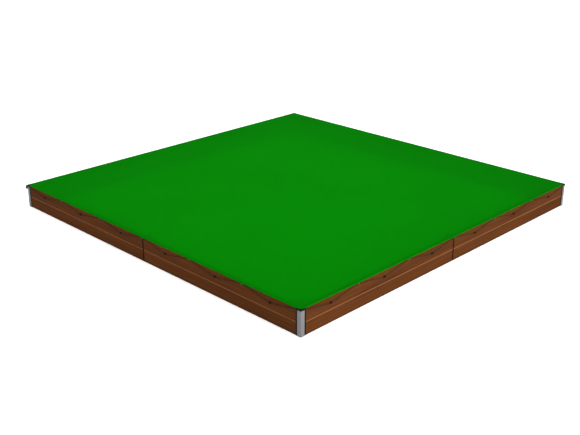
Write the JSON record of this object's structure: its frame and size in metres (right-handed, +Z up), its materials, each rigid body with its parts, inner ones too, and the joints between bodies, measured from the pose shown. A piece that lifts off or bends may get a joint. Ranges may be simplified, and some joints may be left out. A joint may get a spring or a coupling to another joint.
{
  "type": "sandbox with cover",
  "caption": "Low square timber sandbox with metal corner profiles and a stretched fabric cover held by an elastic cord over knob hooks.",
  "frame": {"origin": "middle of the square base, on the ground", "axes": "+Z up; X and Y parallel to the walls; the front wall's outer face is at y = -2.0 m and the right wall's at x = +2.0 m"},
  "size_m": [4.0321, 4.0321, 0.2423],
  "materials": {
    "wood": "brown-stained planed softwood, fine lengthwise grain, matt",
    "aluminium": "mill-finished to satin anodised extrusion",
    "black": "black plastic, matt",
    "cord": "elastic cord with a dark braided jacket",
    "cover": "coated green woven fabric, slightly see-through, matt"
  },
  "bodies": {
    "frame": {"board_front_1_lower": "wood", "board_front_1_upper": "wood", "board_front_2_lower": "wood", "board_front_2_upper": "wood", "mid_post_front": "aluminium", "mid_seal_front": "black", "hook_front_1": "black", "hook_front_2": "black", "hook_front_3": "black", "hook_front_4": "black", "hook_front_5": "black", "hook_front_6": "black", "board_right_1_lower": "wood", "board_right_1_upper": "wood", "board_right_2_lower": "wood", "board_right_2_upper": "wood", "mid_post_right": "aluminium", "mid_seal_right": "black", "hook_right_1": "black", "hook_right_2": "black", "hook_right_3": "black", "hook_right_4": "black", "hook_right_5": "black", "hook_right_6": "black", "board_back_1_lower": "wood", "board_back_1_upper": "wood", "board_back_2_lower": "wood", "board_back_2_upper": "wood", "mid_post_back": "aluminium", "mid_seal_back": "black", "hook_back_1": "black", "hook_back_2": "black", "hook_back_3": "black", "hook_back_4": "black", "hook_back_5": "black", "hook_back_6": "black", "board_left_1_lower": "wood", "board_left_1_upper": "wood", "board_left_2_lower": "wood", "board_left_2_upper": "wood", "mid_post_left": "aluminium", "mid_seal_left": "black", "hook_left_1": "black", "hook_left_2": "black", "hook_left_3": "black", "hook_left_4": "black", "hook_left_5": "black", "hook_left_6": "black", "corner_post_front_right": "aluminium", "corner_cap_front_right": "black", "corner_post_back_right": "aluminium", "corner_cap_back_right": "black", "corner_post_back_left": "aluminium", "corner_cap_back_left": "black", "corner_post_front_left": "aluminium", "corner_cap_front_left": "black"},
    "cover": {"cover_sheet": "cover", "elastic_cord": "cord", "cord_clamp": "black"}
  },
  "joints": [
    {"name": "cover_lift", "type": "slide", "parent": "frame", "child": "cover", "axis": [0, 0, 1], "range_m": [0, 0.35], "deforming": ["elastic_cord"]}
  ]
}
